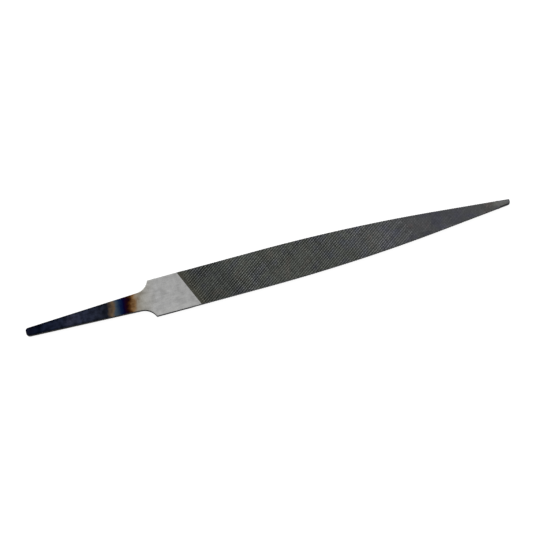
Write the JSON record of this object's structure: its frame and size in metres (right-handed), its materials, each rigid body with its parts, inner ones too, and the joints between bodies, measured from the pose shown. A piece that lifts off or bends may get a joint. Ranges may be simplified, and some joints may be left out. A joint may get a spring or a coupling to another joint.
{
  "type": "locksmith file",
  "caption": "Flat locksmith's file: a long blade tapering to a narrow blunt tip, teeth cut on faces and edges, a bare heel and a tapered flat tang.",
  "frame": {"origin": "middle of the underside's outline, halfway between the end of the tang and the tip", "axes": "+X along the file from the tang to the tip, +Y across the blade, +Z out of the upper face"},
  "size_m": [0.2698, 0.0208, 0.0024],
  "materials": {
    "file_steel": "hardened tool steel: chisel-cut and dark grey on the blade, ground bright on the heel, heat-blued on the tang"
  },
  "bodies": {
    "root": {"file_body": "file_steel"}
  },
  "joints": []
}
